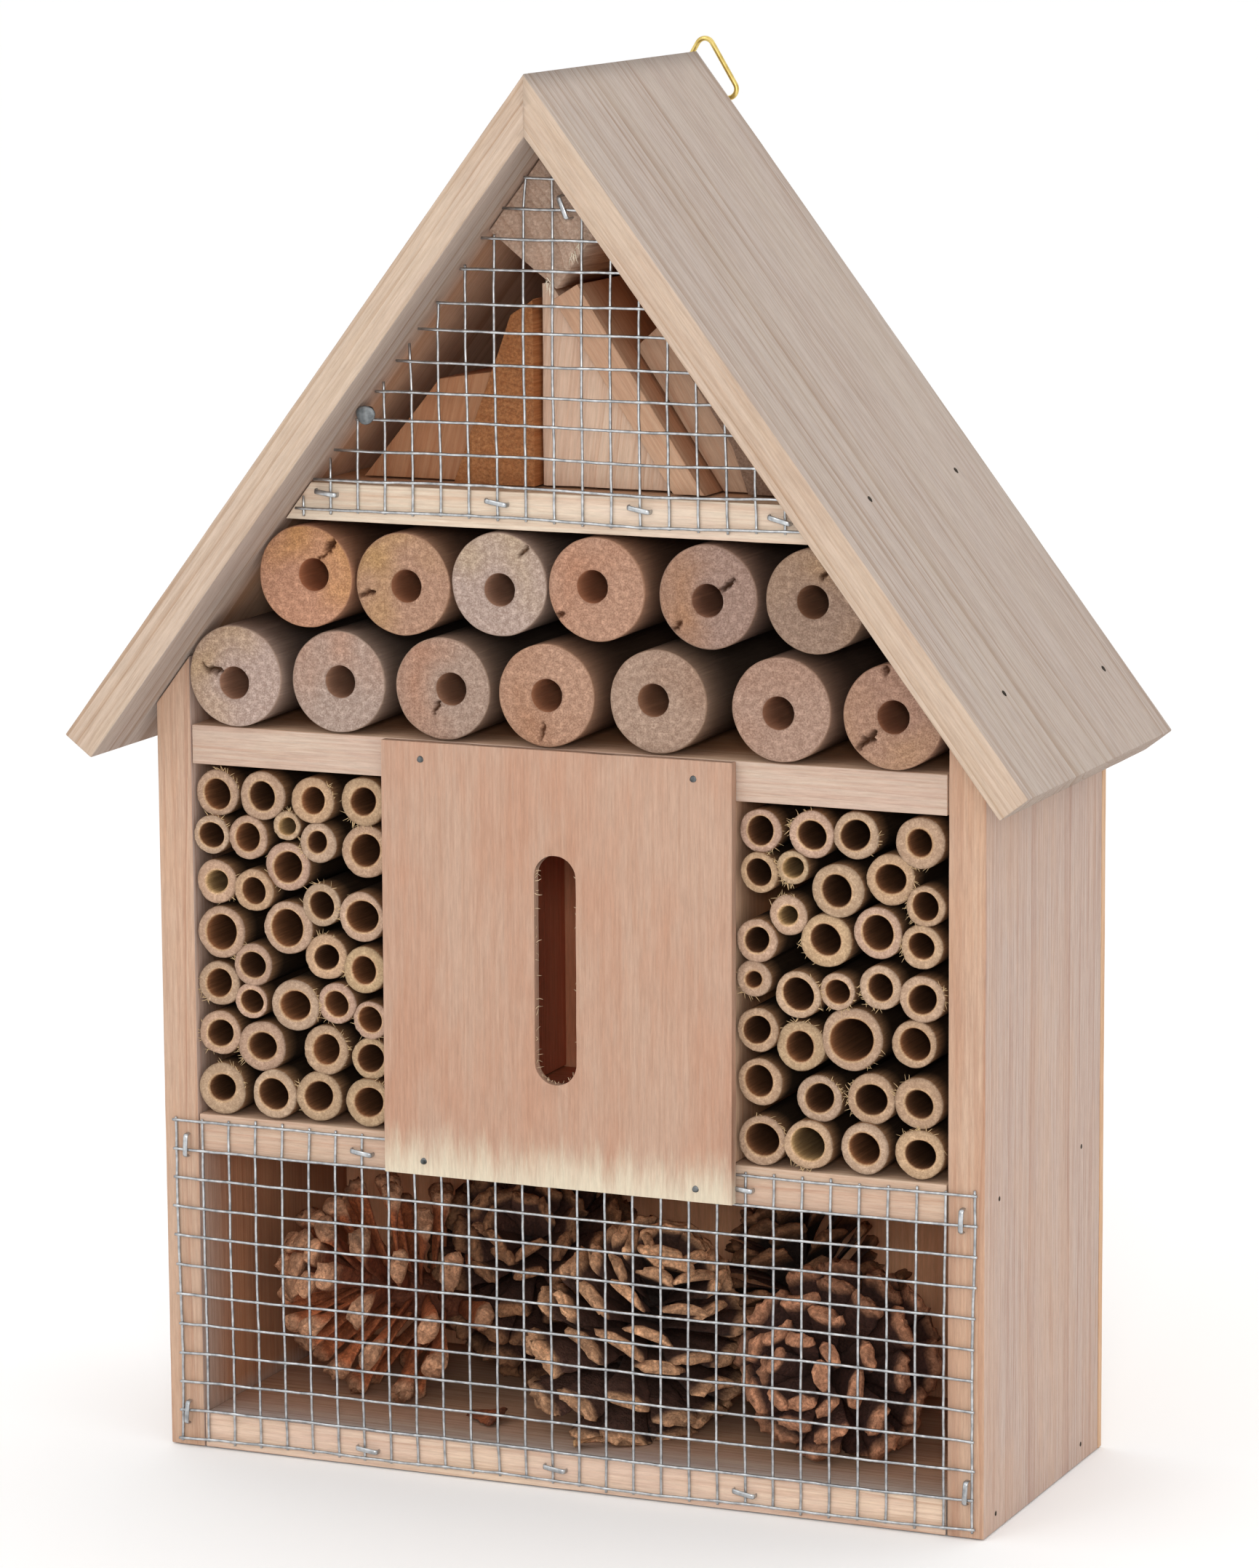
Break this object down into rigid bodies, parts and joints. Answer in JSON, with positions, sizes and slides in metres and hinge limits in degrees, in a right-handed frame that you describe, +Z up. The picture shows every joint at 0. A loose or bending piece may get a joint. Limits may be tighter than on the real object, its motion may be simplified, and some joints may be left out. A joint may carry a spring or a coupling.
{
  "type": "insect hotel",
  "caption": "Pitched-roof wooden insect hotel with drilled logs, bamboo tubes, a slotted chamber, a wired pine cone chamber and attic, and a folding wire hanger.",
  "frame": {"origin": "centre of the footprint on the underside of the floor board", "axes": "+Z up along the height, +Y from the open front to the back panel, +X to the right seen from the front"},
  "size_m": [0.2902, 0.125, 0.4046],
  "materials": {
    "pine_board": "bare sawn pine, pale with soft grain",
    "roof_board": "bare sawn pine, slightly greyed on the slopes",
    "plywood_panel": "bare poplar plywood, fuzzy face",
    "plywood_back": "bare plywood",
    "log": "bare peeled logs with sawn end grain",
    "offcut": "rough sawn softwood offcuts",
    "bamboo": "dry bamboo with fibrous sawn ends",
    "pine_cone": "open dry pine cones",
    "zinc_wire": "zinc-coated welded wire",
    "brass_plate": "brass-plated steel"
  },
  "bodies": {
    "hotel": {"attic_shelf": "pine_board", "back_panel": "plywood_back", "bamboo_left_1": "bamboo", "bamboo_left_2": "bamboo", "bamboo_left_3": "bamboo", "bamboo_left_4": "bamboo", "bamboo_left_5": "bamboo", "bamboo_left_6": "bamboo", "bamboo_left_7": "bamboo", "bamboo_left_8": "bamboo", "bamboo_right_1": "bamboo", "bamboo_right_2": "bamboo", "bamboo_right_3": "bamboo", "bamboo_right_4": "bamboo", "bamboo_right_5": "bamboo", "bamboo_right_6": "bamboo", "bamboo_right_7": "bamboo", "bamboo_right_8": "bamboo", "butterfly_panel": "plywood_panel", "divider_left": "pine_board", "divider_right": "pine_board", "floor_board": "pine_board", "hanger_screw_lower": "brass_plate", "hanger_screw_upper": "brass_plate", "hanger_strap": "brass_plate", "log_lower_1": "log", "log_lower_2": "log", "log_lower_3": "log", "log_lower_4": "log", "log_lower_5": "log", "log_lower_6": "log", "log_lower_7": "log", "log_upper_1": "log", "log_upper_2": "log", "log_upper_3": "log", "log_upper_4": "log", "log_upper_5": "log", "log_upper_6": "log", "lower_shelf": "pine_board", "middle_shelf": "pine_board", "offcut_centre_plank": "offcut", "offcut_leaning_block": "offcut", "offcut_leaning_plank": "offcut", "offcut_low_block": "offcut", "offcut_rear_plank": "offcut", "offcut_right_block": "offcut", "pine_cone_1": "pine_cone", "pine_cone_2": "pine_cone", "pine_cone_3": "pine_cone", "pine_cone_4": "pine_cone", "pine_cone_5": "pine_cone", "ridge_block": "offcut", "roof_left": "roof_board", "roof_right": "roof_board", "side_left": "pine_board", "side_right": "pine_board", "wire_mesh_attic": "zinc_wire", "wire_mesh_lower": "zinc_wire"},
    "loop": {"hanger_loop": "brass_plate"}
  },
  "joints": [
    {"name": "hanger_fold", "type": "hinge", "parent": "hotel", "child": "loop", "pos_m": [0.0015, 0.0537, 0.3869], "axis": [-1, 0, 0], "range_deg": [0, 175]}
  ]
}
